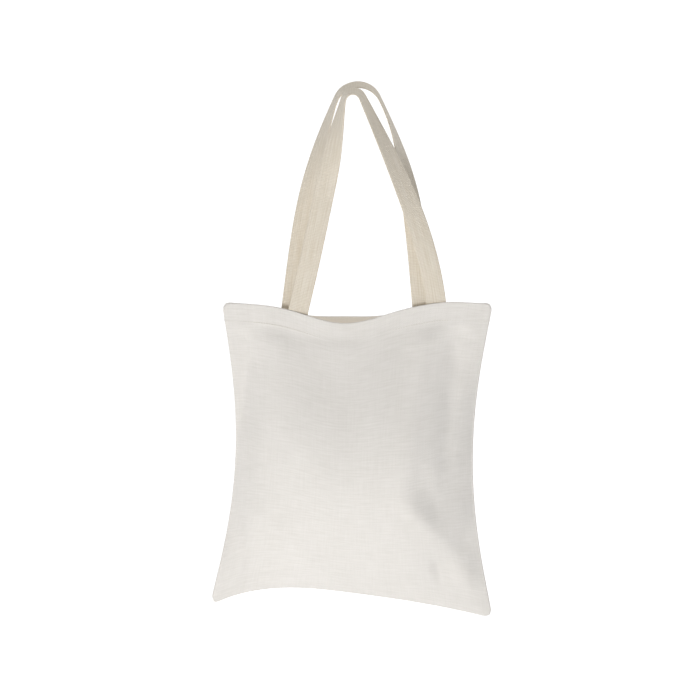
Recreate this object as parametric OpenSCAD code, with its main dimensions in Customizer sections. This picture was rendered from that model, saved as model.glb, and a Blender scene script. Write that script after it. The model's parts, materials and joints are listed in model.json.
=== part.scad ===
// Canvas tote bag, hanging open by its two webbing handles. Millimetres, +Z up, X across.
// The front of the bag faces -Y. The origin is the hanging point: the middle of the gap between
// the handles, level with the underside of both crowns, where a hook or a peg carries the bag.

/* [Bag] */
// Width of the finished bag, laid flat, along its bottom seam
bag_w = 357; // [260:1:460]
// Height of the finished bag, laid flat: the mean of its two side seams
bag_h = 416; // [300:1:500]
// How far each top corner is drawn in because the mouth hangs open
mouth_draw = 12; // [0:0.5:20]
// How far each side seam is drawn in halfway up by the belly
waist_draw = 24; // [0:0.5:30]
// How far the middle of the bottom seam is drawn up by the belly
bottom_arch = 25; // [0:0.5:34]
// How much more the bottom seam is drawn up at its left, and less at its right
foot_skew = 6; // [0:0.5:10]
// How much lower the right bottom corner hangs than the left one
foot_tilt = 8; // [-12:0.5:12]
// How much higher the right top corner hangs than the left one
rim_tilt = 9; // [-12:0.5:12]
// How far each panel stands out at the fullest part of the belly
belly = 55; // [10:1:90]
// Height of the fullest part of the belly, as a share of the panel
belly_level = 0.48; // [0.3:0.01:0.6]
// How far each lip stands out all along the rim
lip_base = 2; // [2:0.5:10]
// How much further each lip stands out where the mouth is open
lip = 9; // [2:0.5:40]
// How far the rim sags where the mouth is open
rim_sag = 22.5; // [0:0.5:30]
// Where across the rim the mouth is open, from -1 at the left side seam to 1 at the right one
mouth_at = -0.09; // [-0.4:0.01:0.4]
// How wide the open part of the mouth is, as a share of half the rim
mouth_wide = 0.4; // [0.25:0.01:0.6]
// How far the bag's centreline hangs to the right of the hanging point
bag_x = 12; // [0:0.5:20]

/* [Cloth] */
// Thickness of the canvas
cloth_t = 0.7; // [0.4:0.05:1]
// Gap between layers of cloth that lie on each other
layer_gap = 0.1; // [0.05:0.01:0.3]
// Height of the turned hem
hem_h = 25; // [15:0.5:40]
// Layers of cloth turned inside the rim
hem_layers = 2; // [1:1:3]
// Width of the seam allowance inside the bag
seam_w = 10; // [7:0.5:15]
// Thickness of the sewing thread
thread_t = 0.5; // [0.3:0.05:0.8]
// How far the seam stitches lie from the fold
stitch_inset = 4; // [3.5:0.1:6]
// How far the overlocking reaches over the raw edge of the seam allowance
overlock_w = 4; // [3:0.5:6]

/* [Handles] */
// Width of the webbing
web_w = 25; // [20:0.5:40]
// Thickness of the webbing
web_t = 1.6; // [1.2:0.1:2.5]
// Height of the underside of the crowns above the two top corners of the bag, on average
handle_drop = 275.5; // [200:0.5:330]
// Where the front handle's left and right legs meet the rim, from the bag's centreline
front_feet = [-72.5, 96.5]; // [-130:0.5:130]
// Where the back handle's left and right legs meet the rim, from the bag's centreline
back_feet = [-81.5, 80]; // [-130:0.5:130]
// Length of each handle end sewn inside the rim
end_len = 30; // [20:1:40]
// Gap between the two handles, side by side at the crown
crown_gap = 2; // [1:0.5:10]
// Inner radius of the front handle's crown
front_crown_r = 11; // [8:0.5:30]
// Inner radius of the back handle's crown
back_crown_r = 28; // [8:0.5:40]
// How far the back handle's crown sits to the right of the front one's
back_crown_x = 6; // [-6:0.5:12]
// How far round the crown the left and right legs leave it, in degrees, at the front
front_leave = [80, 64]; // [40:1:85]
// How far round the crown the left and right legs leave it, in degrees, at the back
back_leave = [71, 63]; // [40:1:85]
// How far the left and right legs lean outwards where they meet the rim, in degrees, at the front
front_splay = [11.5, 8.5]; // [0:0.5:14]
// How far the left and right legs lean outwards where they meet the rim, in degrees, at the back
back_splay = [5.5, 6.5]; // [0:0.5:14]
// Gap between a handle and its sewn ends, at the bend over the rim
bend_gap = 1.6; // [0.8:0.1:2]
// Margin between a handle end's box of stitches and the webbing's edges
box_margin = 4; // [3:0.5:6]

/* [Hidden] */

cloth_colour = [0.87, 0.86, 0.83];
inside_colour = [0.8, 0.78, 0.73];
webbing_colour = [0.86, 0.81, 0.72];
thread_colour = [0.93, 0.91, 0.86];

// The layers, as depths below the outer face of a panel
hem_t = hem_layers * cloth_t;
hem_depth = cloth_t + layer_gap;
end_depth = hem_depth + hem_t + layer_gap;
// Half the thickness of the folded side and bottom edges, which hold every layer of the rim
edge_half = end_depth + layer_gap;

panel_cols = 26;
panel_rows = 24;
seam_steps = 24;
leg_steps = 30;
crown_steps = 14;
end_cols = 4;
end_rows = 5;
belly_power = 3;
lip_power = 8;
arch_power = 2.8;
waist_power = 1.2;
skew_peak = 0.385;
leg_reach = 0.34;
crown_fade = 1.5;
web_bevel = 0.4;
// Where along the left and the right leg the webbing starts and ends its turn to lie flat. A start
// below 0 is a turn that has begun on the crown
front_twist = [[-0.12, 0.48], [-0.3, 1]];
back_twist = [[-0.16, 0.78], [0.02, 0.8]];

function lerp(a, b, k) = a + (b - a) * k;
function clamp01(k) = max(0, min(1, k));
function ease(k) = let (c = clamp01(k)) c * c * (3 - 2 * c);
function steps(a, b, n) = [for (k = [0:n]) lerp(a, b, k / n)];

// ---- The outline of the bag: s runs from -1 to 1 across it, t from 0 at the bottom to 1 at the rim

function half_w(t) = bag_w / 2 - mouth_draw * t - waist_draw * pow(4 * t * (1 - t), waist_power);
function mouth(s) = exp(-pow((s - mouth_at) / mouth_wide, 2));
function rim_z(s) = -handle_drop + rim_tilt * s / 2 - rim_sag * mouth(s);
function bottom_z(s) = -handle_drop - bag_h - foot_tilt * s / 2
    + bottom_arch * (1 - pow(abs(s), arch_power)) - foot_skew * s * (1 - s * s) / skew_peak;
function face_h(s) = rim_z(s) - bottom_z(s) - edge_half;
function level(s, h) = 1 - h / face_h(s);

// How full the belly is at t, and how far the lips have come into play there
function swell(t) = t < belly_level ? sin(90 * t / belly_level)
    : (1 + cos(180 * (t - belly_level) / (1 - belly_level))) / 2;
function opening(t) = ease((t - belly_level) / (1 - belly_level));
function stand_out(s, t) = edge_half + belly * swell(t) * (1 - pow(abs(s), belly_power))
    + (lip_base + lip * mouth(s)) * opening(t) * (1 - pow(abs(s), lip_power));

// Points of the front panel, d below its outer face, and of the fold round its sides and bottom
function face_at(s, t, d) =
    [bag_x + s * (half_w(t) - edge_half), d - stand_out(s, t), bottom_z(s) + edge_half + t * face_h(s)];
function side_at(s, t, d) = [bag_x + s * (half_w(t) - d), 0, bottom_z(s) + edge_half + t * face_h(s)];
function bottom_at(s, d) = [bag_x + s * (half_w(0) - edge_half), 0, bottom_z(s) + d];
function corner_at(s, d) = [bag_x + s * (half_w(0) - d), 0, bottom_z(s) + d];

// A point on the front panel x from the bag's centreline and h below the rim
function s_of(x, h) = x / (half_w(level(x / (half_w(1) - edge_half), h)) - edge_half);
function hung_at(x, h, d) = let (s = s_of(x, h)) face_at(s, level(s, h), d);

// ---- Solids made from grids and rings of points

// The solid between two grids of points, the outer one seen from the front
module slab(outer, inner) {
    rows = len(outer);
    cols = len(outer[0]);
    n = rows * cols;
    left = [for (j = [0:rows - 2]) [j * cols, (j + 1) * cols]];
    top = [for (i = [0:cols - 2]) [(rows - 1) * cols + i, (rows - 1) * cols + i + 1]];
    right = [for (j = [0:rows - 2]) [(j + 2) * cols - 1, (j + 1) * cols - 1]];
    bottom = [for (i = [0:cols - 2]) [i + 1, i]];
    polyhedron(
        points = [for (grid = [outer, inner], row = grid) each row],
        faces = [
            for (j = [0:rows - 2], i = [0:cols - 2])
                let (a = j * cols + i, b = a + cols)
                    each [[a, b, b + 1], [a, b + 1, a + 1],
                        [n + a, n + b + 1, n + b], [n + a, n + a + 1, n + b + 1]],
            for (e = concat(left, top, right, bottom))
                each [[e[1], e[0], e[0] + n], [e[1], e[0] + n, e[1] + n]]
        ]
    );
}

// The solid through a list of rings with the same number of points. caps are the convex faces
// that close its ends, as numbers of the ring's points
module loft(rings, caps = undef) {
    k = len(rings[0]);
    last = (len(rings) - 1) * k;
    ends = is_undef(caps) ? [[for (p = [0:k - 1]) p]] : caps;
    polyhedron(
        points = [for (ring = rings) each ring],
        faces = [
            each ends,
            for (face = ends) [for (n = [len(face) - 1:-1:0]) last + face[n]],
            for (r = [0:len(rings) - 2], p = [0:k - 1])
                let (a = r * k + p, b = r * k + (p + 1) % k)
                    each [[a, a + k, b + k], [a, b + k, b]]
        ]
    );
}

// ---- Panels and hems

// One panel, cut and turned in round its sides and bottom, where it meets the other panel
module panel() {
    across = steps(-1, 1, panel_cols);
    up = steps(0, 1, panel_rows);
    function sheet(d) = concat(
        [concat([corner_at(-1, d)], [for (s = across) bottom_at(s, d)], [corner_at(1, d)])],
        [for (t = up) concat([side_at(-1, t, d)], [for (s = across) face_at(s, t, d)], [side_at(1, t, d)])]
    );
    slab(sheet(0), sheet(cloth_t));
}

// The cloth turned inside one panel's rim
module hem() {
    across = steps(-1, 1, panel_cols);
    down = [hem_h, hem_h / 2, 0];
    function band(d) = [for (h = down) concat(
        [side_at(-1, level(-1, h), d)],
        [for (s = across) face_at(s, level(s, h), d)],
        [side_at(1, level(1, h), d)]
    )];
    slab(band(hem_depth), band(hem_depth + hem_t));
}

// The row of stitches that holds a hem down, just above its lower edge
module hem_stitching() {
    across = steps(-1, 1, panel_cols);
    down = [hem_h - 2, hem_h - 2 - thread_t];
    function row(d) = [for (h = down) [for (s = across) face_at(s, level(s, h), d)]];
    slab(row(-thread_t / 2), row(hem_depth + hem_t - thread_t / 2));
}

// ---- Seams: both panels' allowances lie together on the middle plane, inside the bag

lock_in = seam_w - overlock_w;
lock_out = seam_w + thread_t;
lock_half = cloth_t + thread_t;
// How far in from the fold a layer of this half thickness fits between the panels
function clear_of_fold(half_t) = cloth_t + half_t + layer_gap;
// The side seams run from just below the hem to just above the fold of the bottom. side is -1 at
// the left and 1 at the right
function seam_top(side) = hem_h + layer_gap
    + max(0, rim_z(side) - rim_z(side * (1 - lock_out / half_w(1))));
function seam_foot(side) = rim_z(side) - bottom_z(side * (1 - lock_out / half_w(0)))
    - clear_of_fold(lock_half) - layer_gap;
// The bottom seam ends clear of the side seams, where they lean in above the corners
function corner_rise(side) = bottom_z(side * (1 - 1.5 * lock_out / half_w(0))) - bottom_z(side) + lock_out;
function bottom_end(side) = half_w(corner_rise(side) / face_h(side)) - lock_out - 2 * layer_gap;

// A section whose first number is measured in from the fold, carried down a side seam at the
// left of the bag. The right one has its own heights, and is then mirrored to its place
module up_the_side(side, section, caps = undef) {
    loft([for (h = steps(seam_top(side), seam_foot(side), seam_steps))
        let (t = level(side, h), z = side_at(side, t, 0)[2])
            [for (q = section) [bag_x - half_w(t) + q[0], q[1], z]]], caps);
}

// The same section, carried along the bottom seam between the side seams
module along_the_bottom(section, caps = undef) {
    loft([for (x = steps(-bottom_end(-1), bottom_end(1), panel_cols))
        let (s = x / half_w(0)) [for (q = section) [bag_x + x, q[1], bottom_z(s) + q[0]]]], caps);
}

fold_inset = clear_of_fold(layer_gap);
shoulder_inset = clear_of_fold(cloth_t) + layer_gap;
seam_section = [
    [fold_inset, 0], [shoulder_inset, cloth_t], [seam_w, cloth_t],
    [seam_w, -cloth_t], [shoulder_inset, -cloth_t]
];
overlock_section = [
    [lock_in, cloth_t], [lock_in, lock_half], [lock_out, lock_half], [lock_out, -lock_half],
    [lock_in, -lock_half], [lock_in, -cloth_t], [seam_w, -cloth_t], [seam_w, cloth_t]
];
overlock_caps = [[0, 1, 2, 7], [7, 2, 3, 6], [6, 3, 4, 5]];
stitch_section = [
    [stitch_inset, lock_half], [stitch_inset + thread_t, lock_half],
    [stitch_inset + thread_t, -lock_half], [stitch_inset, -lock_half]
];

module side_seam(side) { up_the_side(side, seam_section); }
module side_overlock(side) { up_the_side(side, overlock_section, overlock_caps); }
module side_stitching(side) { up_the_side(side, stitch_section); }

// ---- Handles: flat webbing, on edge round the crown and turned flat to the rim

// Where a leg meets the rim x from the bag's centreline, as the front handle's middle line
function foot_at(x) = let (s = x / (half_w(1) - edge_half)) [
    bag_x + x,
    end_depth + web_t / 2 - stand_out(s, 1),
    rim_z(s) + bend_gap
];

function bezier(p, k) = let (m = 1 - k)
    m * m * m * p[0] + 3 * m * m * k * p[1] + 3 * m * k * k * p[2] + k * k * k * p[3];
function bezier_way(p, k) = let (m = 1 - k)
    m * m * (p[1] - p[0]) + 2 * m * k * (p[2] - p[1]) + k * k * (p[3] - p[2]);
function turned(twist, k) = 90 * ease((k - twist[0]) / (twist[1] - twist[0]));

// One cross-section of the webbing: c is its centre, way its direction in the XZ plane, from the
// left leg over the crown to the right one, and turn how far it has turned from on edge to flat
function web_ring(c, way, turn) = let (
    u = way / norm(way),
    side = [-u[2], 0, u[0]],
    front = [0, -1, 0],
    thick = side * cos(turn) + front * sin(turn),
    wide = front * cos(turn) - side * sin(turn),
    a = web_w / 2, b = web_t / 2, e = web_bevel
) [for (q = [[a, b - e], [a - e, b], [e - a, b], [-a, b - e],
             [-a, e - b], [e - a, -b], [a - e, -b], [a, e - b]])
    c + q[0] * wide + q[1] * thick];

// The rings of a handle from the rim at the left, over the crown, to the rim at the right.
// facing is 1 where its outer face turns out of the bag on the way down, and -1 where it turns in
function handle_rings(feet, crown_x, crown_r, leave, splay, twist, facing) = let (
    mid_r = crown_r + web_t / 2,
    crown_y = -(web_w + crown_gap) / 2,
    centre = [crown_x, crown_y, -crown_r],
    legs = [for (i = [0, 1]) let (
        side = 2 * i - 1,
        a = leave[i],
        top = centre + mid_r * [side * sin(a), 0, cos(a)],
        foot = foot_at(feet[i]),
        reach = leg_reach * norm(foot - top)
    ) [
        [top[0], 0, top[2]],
        [top[0] + side * reach * cos(a), 0, top[2] - reach * sin(a)],
        [foot[0] - side * reach * sin(splay[i]), 0, foot[2] + reach * cos(splay[i])],
        [foot[0], 0, foot[2]]
    ]],
    feet_y = [for (x = feet) foot_at(x)[1]]
) concat(
    [for (k = steps(1, 0, leg_steps)) web_ring(
        bezier(legs[0], k) + [0, lerp(crown_y, feet_y[0], k * k), 0],
        -bezier_way(legs[0], k), facing * turned(twist[0], k))],
    [for (n = [1:crown_steps - 1]) let (
        a = lerp(-leave[0], leave[1], n / crown_steps),
        i = a < 0 ? 0 : 1,
        turn = turned(twist[i], 0) * pow(ease(abs(a) / leave[i]), crown_fade)
    ) web_ring(centre + mid_r * [sin(a), 0, cos(a)], [cos(a), 0, -sin(a)], facing * turn)],
    [for (k = steps(0, 1, leg_steps)) web_ring(
        bezier(legs[1], k) + [0, lerp(crown_y, feet_y[1], k * k), 0],
        bezier_way(legs[1], k), facing * turned(twist[1], k))]
);

// A handle's sewn end x from the bag's centreline, flat against the inside of the hem
module handle_end(x) {
    across = steps(x - web_w / 2, x + web_w / 2, end_cols);
    down = steps(end_len, 0, end_rows);
    function face(d) = [for (h = down) [for (v = across) hung_at(v, h, d)]];
    slab(face(end_depth), face(end_depth + web_t));
}

// The box of four lines of stitches that holds a handle end to the hem
module box_stitching(x) {
    a = web_w / 2 - box_margin;
    low = hem_h - box_margin;
    top = box_margin;
    inner = end_depth + web_t + thread_t / 2;
    outer = hem_depth + thread_t / 2;
    function bar(p, q, wide, d) = [for (w = [-1, 1])
        [for (k = steps(0, 1, 4)) let (m = lerp(p, q, k))
            hung_at(x + m[0] + w * wide[0], m[1] + w * wide[1], d)]];
    module line(p, q, wide) { slab(bar(p, q, wide, outer), bar(p, q, wide, inner)); }
    half = thread_t / 2;
    line([-a, low], [a, low], [0, -half]);
    line([-a, top], [a, top], [0, -half]);
    line([-a, low - half - layer_gap], [-a, top + half + layer_gap], [-half, 0]);
    line([a, low - half - layer_gap], [a, top + half + layer_gap], [-half, 0]);
}

// ---- One module for each piece

module to_back() { mirror([0, 1, 0]) children(); }
module to_right() { translate([2 * bag_x, 0, 0]) mirror([1, 0, 0]) children(); }

module front_panel() { color(cloth_colour) panel(); }
module back_panel() { color(cloth_colour) to_back() panel(); }
module front_hem() { color(cloth_colour) hem(); }
module back_hem() { color(cloth_colour) to_back() hem(); }

module left_seam() { color(inside_colour) side_seam(-1); }
module right_seam() { color(inside_colour) to_right() side_seam(1); }
module bottom_seam() { color(inside_colour) along_the_bottom(seam_section); }
module left_overlock() { color(thread_colour) side_overlock(-1); }
module right_overlock() { color(thread_colour) to_right() side_overlock(1); }
module bottom_overlock() { color(thread_colour) along_the_bottom(overlock_section, overlock_caps); }
module left_seam_stitching() { color(thread_colour) side_stitching(-1); }
module right_seam_stitching() { color(thread_colour) to_right() side_stitching(1); }
module bottom_seam_stitching() { color(thread_colour) along_the_bottom(stitch_section); }
module front_hem_stitching() { color(thread_colour) hem_stitching(); }
module back_hem_stitching() { color(thread_colour) to_back() hem_stitching(); }

module front_handle() {
    color(webbing_colour)
        loft(handle_rings(front_feet, 0, front_crown_r, front_leave, front_splay, front_twist, 1));
}
module back_handle() {
    color(webbing_colour) to_back()
        loft(handle_rings(back_feet, back_crown_x, back_crown_r, back_leave, back_splay, back_twist, -1));
}
module front_left_handle_end() { color(webbing_colour) handle_end(front_feet[0]); }
module front_right_handle_end() { color(webbing_colour) handle_end(front_feet[1]); }
module back_left_handle_end() { color(webbing_colour) to_back() handle_end(back_feet[0]); }
module back_right_handle_end() { color(webbing_colour) to_back() handle_end(back_feet[1]); }
module front_left_box_stitching() { color(thread_colour) box_stitching(front_feet[0]); }
module front_right_box_stitching() { color(thread_colour) box_stitching(front_feet[1]); }
module back_left_box_stitching() { color(thread_colour) to_back() box_stitching(back_feet[0]); }
module back_right_box_stitching() { color(thread_colour) to_back() box_stitching(back_feet[1]); }

front_panel();
back_panel();
front_hem();
back_hem();
left_seam();
right_seam();
bottom_seam();
left_overlock();
right_overlock();
bottom_overlock();
left_seam_stitching();
right_seam_stitching();
bottom_seam_stitching();
front_hem_stitching();
back_hem_stitching();
front_handle();
back_handle();
front_left_handle_end();
front_right_handle_end();
back_left_handle_end();
back_right_handle_end();
front_left_box_stitching();
front_right_box_stitching();
back_left_box_stitching();
back_right_box_stitching();
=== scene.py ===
import json
import math

import bpy
import numpy as np
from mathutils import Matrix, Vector


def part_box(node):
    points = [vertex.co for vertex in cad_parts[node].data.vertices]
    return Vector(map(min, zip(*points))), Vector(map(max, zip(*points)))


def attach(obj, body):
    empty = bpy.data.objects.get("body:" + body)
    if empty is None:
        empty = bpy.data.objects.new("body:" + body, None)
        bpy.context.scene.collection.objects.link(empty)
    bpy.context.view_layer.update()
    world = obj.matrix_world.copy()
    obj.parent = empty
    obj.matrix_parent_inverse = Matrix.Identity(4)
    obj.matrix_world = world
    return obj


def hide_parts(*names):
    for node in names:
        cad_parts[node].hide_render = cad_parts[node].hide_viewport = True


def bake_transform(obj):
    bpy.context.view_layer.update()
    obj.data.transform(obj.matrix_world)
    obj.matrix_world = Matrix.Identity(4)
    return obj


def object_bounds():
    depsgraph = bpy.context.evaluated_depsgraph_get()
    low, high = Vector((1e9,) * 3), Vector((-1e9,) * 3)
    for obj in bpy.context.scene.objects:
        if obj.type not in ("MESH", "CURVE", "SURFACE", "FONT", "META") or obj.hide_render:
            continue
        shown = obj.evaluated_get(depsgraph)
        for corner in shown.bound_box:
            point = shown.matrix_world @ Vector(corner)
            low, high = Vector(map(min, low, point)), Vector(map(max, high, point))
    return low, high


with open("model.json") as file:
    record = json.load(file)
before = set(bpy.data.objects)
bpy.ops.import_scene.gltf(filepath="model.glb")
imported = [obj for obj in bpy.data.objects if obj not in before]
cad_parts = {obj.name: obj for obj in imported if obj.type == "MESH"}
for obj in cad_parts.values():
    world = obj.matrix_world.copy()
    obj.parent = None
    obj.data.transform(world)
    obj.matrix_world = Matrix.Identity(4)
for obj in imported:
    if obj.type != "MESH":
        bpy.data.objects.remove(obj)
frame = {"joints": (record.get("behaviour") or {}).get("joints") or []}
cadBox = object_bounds()
mm = 0.001
scene = bpy.context.scene
scene.view_settings.view_transform = "Standard"

# The camera looks down at the hanging bag through a long lens
cameraLook = {
    "lookDown": 20.9,       # degrees
    "lean": 1.6,            # degrees, the bag seems to hang a little to the left
    "distance": 5.0,        # metres
    "frameWidth": 0.865,    # metres across the picture, where the bag is
    "aim": (0.0045, 0.0, -0.338),
}


def makeCamera(look):
    down = math.radians(look["lookDown"])
    away = Vector((0, -math.cos(down), math.sin(down)))
    data = bpy.data.cameras.new("camera")
    data.sensor_width = 36
    data.lens = data.sensor_width * look["distance"] / look["frameWidth"]
    data.clip_end = 100
    camera = bpy.data.objects.new("camera", data)
    scene.collection.objects.link(camera)
    camera.location = Vector(look["aim"]) + away * look["distance"]
    turn = away.to_track_quat("Z", "Y").to_matrix().to_4x4()
    camera.matrix_world = turn @ camera.matrix_world.Rotation(math.radians(look["lean"]), 4, "Z")
    camera.location = Vector(look["aim"]) + away * look["distance"]
    scene.camera = camera


makeCamera(cameraLook)
print("camera is in place")


# ---- Studio: a pale floor under the hanging bag, a soft sky and one soft key light

studio = {
    "skyColour": "#ffffff",
    "skyBelow": 0.52,       # how bright the sky is at the horizon and overhead
    "skyAbove": 0.26,
    "floorColour": "#f4f4f4",
    "floorGlow": 0.9,       # the white table is lit behind the bag, and dimmer in front of it
    "glowNear": 0.30, "glowFrom": -0.3, "glowTo": 0.7,
    "floorDrop": 0.45,      # metres below the bag
    "floorSize": 40,
    "keyPlace": (-0.6, -2.5, -0.6),
    "keyAim": (0.012, 0, -0.48),
    "keySize": 1.0,
    "keyPower": 27,
    "keyColour": "#fffdf9",
    "topPlace": (0.2, 0.5, 1.5),    # a small light behind, over the crowns and the mouth
    "topAim": (0, 0, -0.1), "topSize": 0.8, "topPower": 12,
}


def linear(hexColour):
    # sRGB hex to the linear colour that the shaders work in
    parts = [int(hexColour[i:i + 2], 16) / 255 for i in (1, 3, 5)]
    return tuple(c / 12.92 if c <= 0.04045 else ((c + 0.055) / 1.055) ** 2.4 for c in parts) + (1,)


def addNode(tree, kind, inputs=None, **settings):
    # Adds a node, sets what it is given, and links what is a socket
    node = tree.nodes.new(kind)
    for name, value in settings.items():
        setattr(node, name, value)
    for name, value in (inputs or {}).items():
        if isinstance(value, bpy.types.NodeSocket):
            tree.links.new(value, node.inputs[name])
        else:
            node.inputs[name].default_value = value
    return node


def newMaterial(name):
    material = bpy.data.materials.new(name)
    material.use_nodes = True
    material.node_tree.nodes.clear()
    return material, material.node_tree


def meshObject(name, points, faces, material):
    mesh = bpy.data.meshes.new(name)
    mesh.from_pydata([tuple(p) for p in points], [], [tuple(int(i) for i in f) for f in faces])
    mesh.polygons.foreach_set("use_smooth", [True] * len(mesh.polygons))
    mesh.materials.append(material)
    mesh.update()
    piece = bpy.data.objects.new(name, mesh)
    scene.collection.objects.link(piece)
    return piece


def softLight(name, place, aim, size, power, colour):
    data = bpy.data.lights.new(name, "AREA")
    data.size, data.energy, data.color = size, power, linear(colour)[:3]
    light = bpy.data.objects.new(name, data)
    light.location = place
    light.rotation_euler = (Vector(place) - Vector(aim)).to_track_quat("Z", "Y").to_euler()
    light.visible_camera = False
    scene.collection.objects.link(light)


def makeStudio(look):
    world = bpy.data.worlds.new("sky")
    world.use_nodes = True
    tree = world.node_tree
    tree.nodes.clear()
    way = addNode(tree, "ShaderNodeTexCoord").outputs["Generated"]
    split = addNode(tree, "ShaderNodeSeparateXYZ", {"Vector": way})
    strength = addNode(tree, "ShaderNodeMapRange", {
        "Value": split.outputs[2], "From Min": 0.0, "From Max": 0.7,
        "To Min": look["skyBelow"], "To Max": look["skyAbove"]})
    sky = addNode(tree, "ShaderNodeBackground",
                  {"Color": linear(look["skyColour"]), "Strength": strength.outputs[0]})
    addNode(tree, "ShaderNodeOutputWorld", {"Surface": sky.outputs[0]})
    scene.world = world

    material, tree = newMaterial("matteWhiteFloor")
    where = addNode(tree, "ShaderNodeTexCoord").outputs["Object"]
    split = addNode(tree, "ShaderNodeSeparateXYZ", {"Vector": where})
    glow = addNode(tree, "ShaderNodeMapRange", {
        "Value": split.outputs[1], "From Min": look["glowFrom"], "From Max": look["glowTo"],
        "To Min": look["glowNear"], "To Max": look["floorGlow"]}, interpolation_type="SMOOTHSTEP")
    surface = addNode(tree, "ShaderNodeBsdfPrincipled", {
        "Base Color": linear(look["floorColour"]), "Roughness": 0.9,
        "Emission Color": linear(look["skyColour"]), "Emission Strength": glow.outputs[0]})
    addNode(tree, "ShaderNodeOutputMaterial", {"Surface": surface.outputs[0]})
    half = look["floorSize"] / 2
    low = cadBox[0][2] - look["floorDrop"]
    corners = [(-half, -half, low), (half, -half, low), (half, half, low), (-half, half, low)]
    floor = meshObject("floor", corners, [(0, 1, 2, 3)], material)

    softLight("key", look["keyPlace"], look["keyAim"], look["keySize"], look["keyPower"], look["keyColour"])
    softLight("top", look["topPlace"], look["topAim"], look["topSize"], look["topPower"], look["keyColour"])


makeStudio(studio)
print("studio is lit")


# ---- The hanging shape that the panels, hems, seams and stitches share. s runs from -1 to 1
# across a panel, t from 0 at its foot to 1 at its rim, and side is -1 at the front, 1 at the back

bag = {
    "mouthDraw": 12 * mm,       # how far each top corner is drawn in
    "waistDraw": 24 * mm,       # how far each side is drawn in halfway up
    "waistPower": 1.2,
    "middleX": 0.012,           # metres, where the bag's middle hangs from the hanging point
    "halfWidth": 0.1785,
    "rimTop": -0.2755,
    "height": 406 * mm,         # of a side seam, less the allowance at the foot
    "footDrop": 10 * mm,        # and that allowance
    "rimTilt": 9 * mm,          # how much higher the right top corner hangs
    "mouthAt": -0.09,           # where across the rim the mouth sags open
    "mouthWide": 0.40,
    "lipBase": 2 * mm,          # how far both lips stand out all along the rim
    "lip": 9 * mm,              # and how much further where the mouth is open
    "footArch": 25 * mm,        # how far the middle of the foot is drawn up
    "archPower": 2.8,
    "footSkew": 6 * mm,         # how much higher the arch is at its left
    "footTilt": 8 * mm,         # how much lower the right corner hangs
    "footLean": 3.5 * mm,       # how far the foot swings to the right
    "leanPower": 1.3,
    "belly": 55 * mm,
    "bellyPower": 3,
    "cornerPower": 8,           # how close to the corners the lips keep their shape
    "leastSwell": 0.35,         # the share of the swell that the deepest fold leaves
    "bellyLevel": 0.48,
    "cornerRadius": 15 * mm,    # how blunt the turned corners at the foot are
    "rimRadius": 11 * mm,
    "clothThick": 0.7 * mm,
    "hemHeight": 25 * mm,
    "foldHalf": 2.4 * mm,       # half the thickness of the folded side and foot edges
    "seamWidth": 10 * mm,
    "webbingDepth": 3.1 * mm,   # from a panel's outer face to the middle of the sewn webbing
}
# Each lip has its own line: how deep it sags, how flat the sag is, a rise to its right, and how far
# it lies below the other lip where the mouth is closed
frontLip = {
    "sag": 22.5 * mm, "flat": 2.0, "wide": 0.40,
    "rise": 3.0 * mm, "riseAt": 0.70, "riseWide": 0.22, "below": 0.0,
}
backLip = {
    "sag": 22.5 * mm, "flat": 3.4, "wide": 0.50,
    "rise": -0.5 * mm, "riseAt": 0.62, "riseWide": 0.22, "below": 3.2 * mm,
}
footLow = bag["rimTop"] - bag["height"] - bag["footDrop"]
skewPeak = 0.385    # about the most that s * (1 - s * s) reaches
seamTurn = ((82, 1.6 * mm), (80, 0.6 * mm), (74, 0), (56, 0), (38, 0), (19, 0))  # degrees, and tuck
rimTurn = 8         # rows that carry the cloth over the rim


def ease(k):
    k = np.clip(k, 0, 1)
    return k * k * (3 - 2 * k)


def mix(a, b, k):
    return a + (b - a) * k


def halfWidth(t):
    t = np.clip(t, 0, 1)
    return bag["halfWidth"] - bag["mouthDraw"] * t - bag["waistDraw"] * (4 * t * (1 - t)) ** bag["waistPower"]


def middleX(t):
    return bag["middleX"] + bag["footLean"] * (1 - np.clip(t, 0, 1)) ** bag["leanPower"]


def skewed(s):
    return s * np.clip(1 - s * s, 0, 1) / skewPeak


def rimZ(s, side=-1):
    lip = frontLip if side < 0 else backLip
    sag = np.exp(-np.abs((s - bag["mouthAt"]) / lip["wide"]) ** lip["flat"])
    inside = np.clip(1 - s ** bag["cornerPower"], 0, 1)
    rise = np.exp(-((s - lip["riseAt"]) / lip["riseWide"]) ** 2) * inside
    below = lip["below"] * (1 - sag) * inside
    return bag["rimTop"] + bag["rimTilt"] * s / 2 - lip["sag"] * sag + lip["rise"] * rise - below


def footZ(s):
    arch = bag["footArch"] * (1 - np.clip(np.abs(s), 0, 1) ** bag["archPower"])
    return footLow - bag["footTilt"] * s / 2 + arch - bag["footSkew"] * skewed(s)


def swell(t):
    level = bag["bellyLevel"]
    low = np.sin(np.pi / 2 * np.clip(t, 0, level) / level)
    high = (1 + np.cos(np.pi * (t - level) / (1 - level))) / 2
    return np.where(t < level, low, high)


def standOut(s, t):
    q = np.clip(np.abs(s), 0, 1)
    full = bag["belly"] * swell(t) * (1 - q ** bag["bellyPower"])
    mouth = np.exp(-((s - bag["mouthAt"]) / bag["mouthWide"]) ** 2)
    lip = (bag["lipBase"] + bag["lip"] * mouth) * (1 - q ** bag["cornerPower"])
    return bag["foldHalf"] + full + lip * ease((t - bag["bellyLevel"]) / (1 - bag["bellyLevel"]))


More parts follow.
